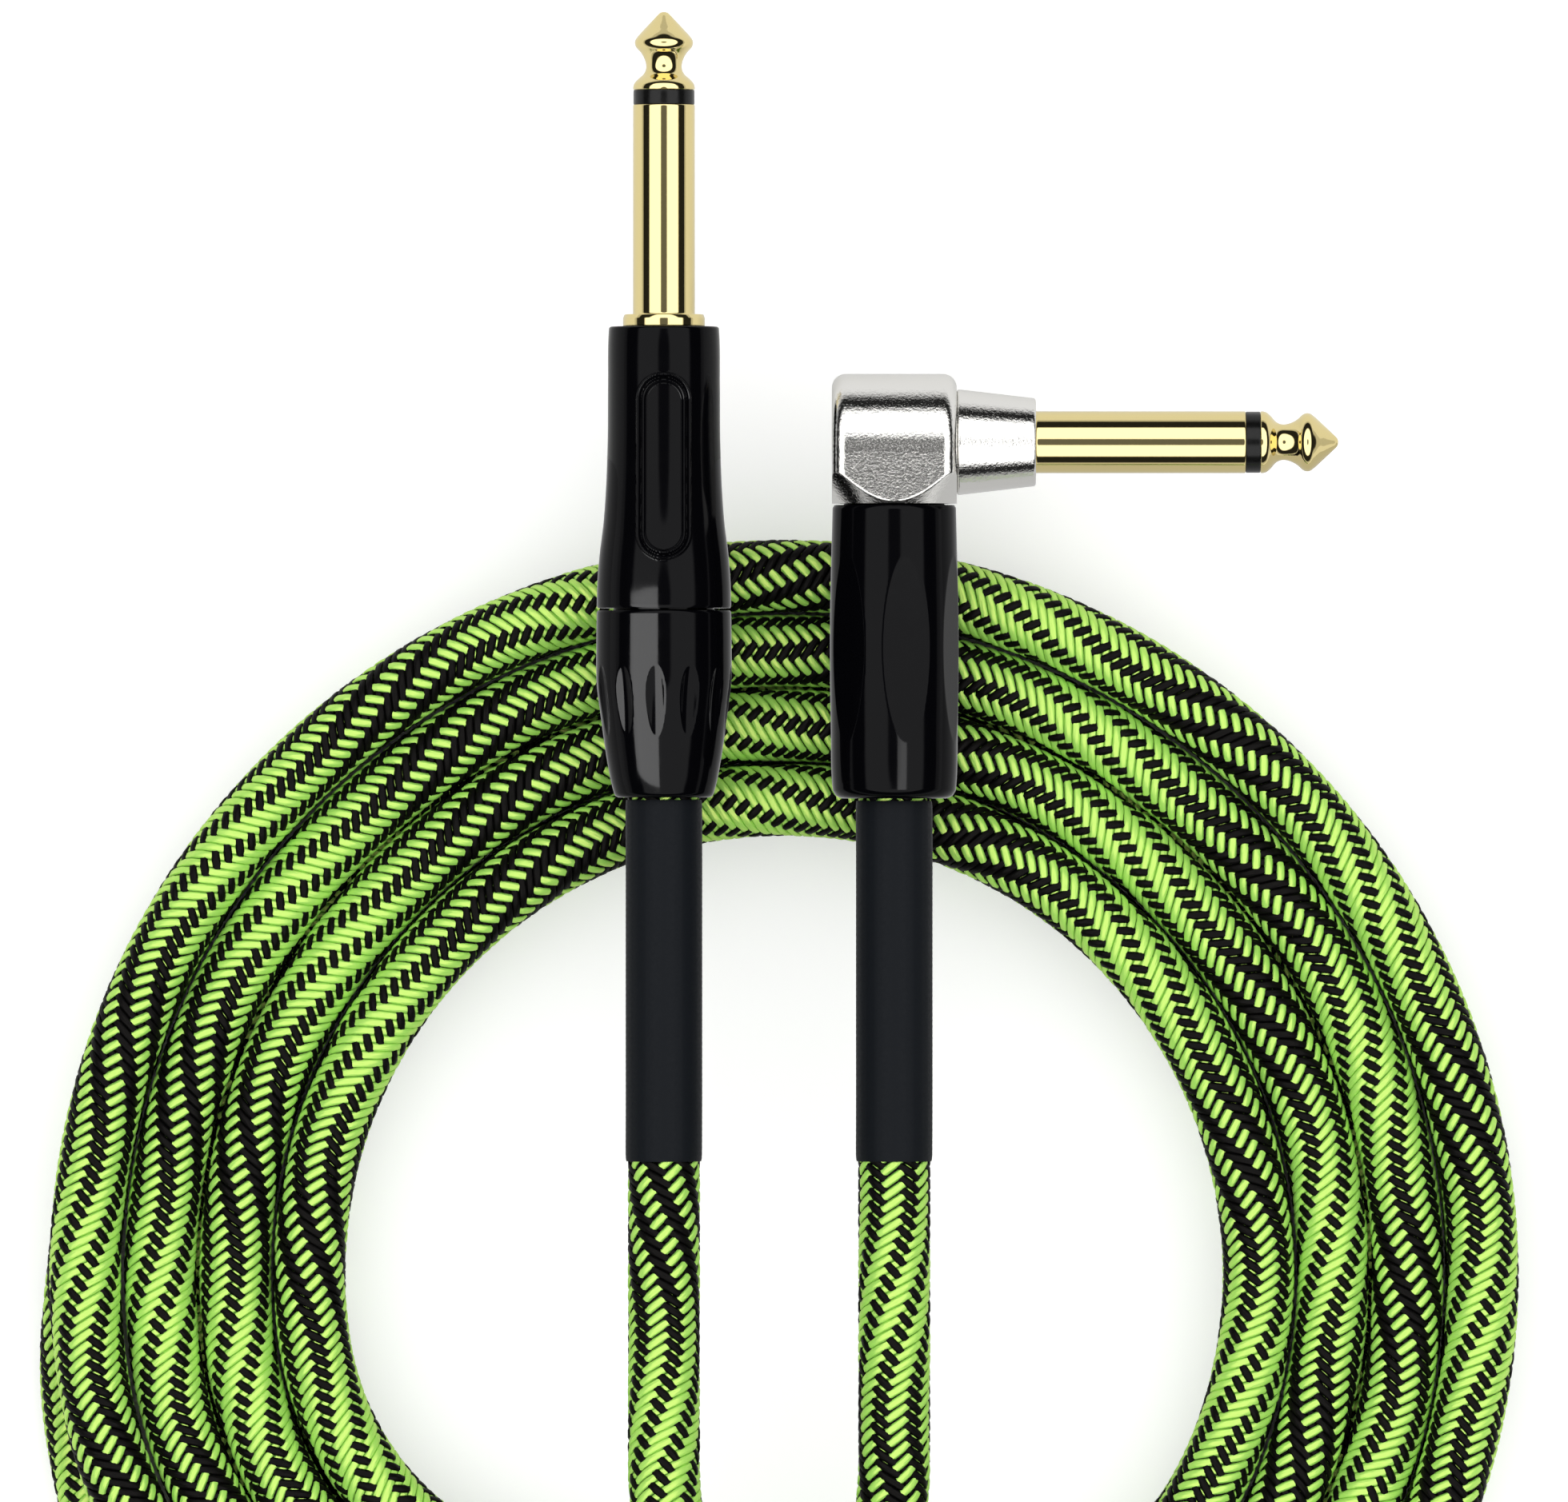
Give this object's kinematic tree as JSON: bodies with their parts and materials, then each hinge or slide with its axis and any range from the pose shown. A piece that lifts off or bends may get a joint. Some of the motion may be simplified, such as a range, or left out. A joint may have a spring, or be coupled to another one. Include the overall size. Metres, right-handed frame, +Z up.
{
  "type": "instrument cable",
  "caption": "Braided instrument cable lying in a flat coil, with a straight phone plug and a right-angle phone plug whose rear nuts unscrew.",
  "frame": {"origin": "middle of the whole outline, on the surface that the coil lies on", "axes": "+Z up from the surface, +Y the way the straight plug points, +X the way the right-angle plug's finger points"},
  "size_m": [0.1512, 0.2052, 0.0306],
  "materials": {
    "gold_plate": "polished gold plate",
    "nickel_plate": "satin nickel plate with a fine grain",
    "gloss_black": "gloss black",
    "black_insulator": "semi-gloss black plastic",
    "tinned_brass": "tinned",
    "chuck_plastic": "matte moulded plastic",
    "heat_shrink": "matte shrunk polyolefin",
    "core_insulation": "white polyethylene",
    "bare_copper": "bare copper strands",
    "braid": "lime green and black braided yarn"
  },
  "bodies": {
    "root": {"straight_tip": "gold_plate", "straight_tip_insulator": "black_insulator", "straight_lug_washer": "black_insulator", "straight_sleeve": "gold_plate", "straight_ground_lug": "tinned_brass", "straight_tip_lug": "tinned_brass", "straight_shell": "gloss_black", "straight_liner": "black_insulator", "straight_jacket_end": "braid", "straight_core_insulation": "core_insulation", "straight_conductor": "bare_copper", "straight_shield_tail": "bare_copper", "straight_heatshrink": "heat_shrink", "angled_tip": "gold_plate", "angled_tip_insulator": "black_insulator", "angled_lug_washer": "black_insulator", "angled_sleeve": "gold_plate", "angled_nose": "nickel_plate", "angled_elbow": "nickel_plate", "angled_ground_lug": "tinned_brass", "angled_tip_lug": "tinned_brass", "angled_jacket_end": "braid", "angled_core_insulation": "core_insulation", "angled_conductor": "bare_copper", "angled_shield_tail": "bare_copper", "angled_heatshrink": "heat_shrink", "cable_coil": "braid", "straight_end_cable": "braid", "angled_end_cable": "braid"},
    "straight_chuck": {"straight_chuck": "chuck_plastic"},
    "straight_bushing": {"straight_bushing": "gloss_black"},
    "angled_chuck": {"angled_chuck": "chuck_plastic"},
    "angled_barrel": {"angled_barrel": "gloss_black"}
  },
  "joints": [
    {"name": "straight_chuck_slide", "type": "slide", "parent": "root", "child": "straight_chuck", "axis": [0, -1, 0], "range_m": [0, 0.00375]},
    {"name": "straight_bushing_turn", "type": "hinge", "parent": "straight_chuck", "child": "straight_bushing", "pos_m": [-0.0123, 0.04125, 0.0222], "axis": [0, -1, 0], "range_deg": [0, 1350]},
    {"name": "angled_chuck_slide", "type": "slide", "parent": "root", "child": "angled_chuck", "axis": [0, -1, 0], "range_m": [0, 0.002]},
    {"name": "angled_barrel_turn", "type": "hinge", "parent": "angled_chuck", "child": "angled_barrel", "pos_m": [0.0113, 0.0522, 0.0219], "axis": [0, -1, 0], "range_deg": [0, 720]}
  ],
  "couplings": [
    {"joint": "straight_chuck_slide", "follows": "straight_bushing_turn", "m_per_rad": 0.00015915},
    {"joint": "angled_chuck_slide", "follows": "angled_barrel_turn", "m_per_rad": 0.00015915}
  ]
}
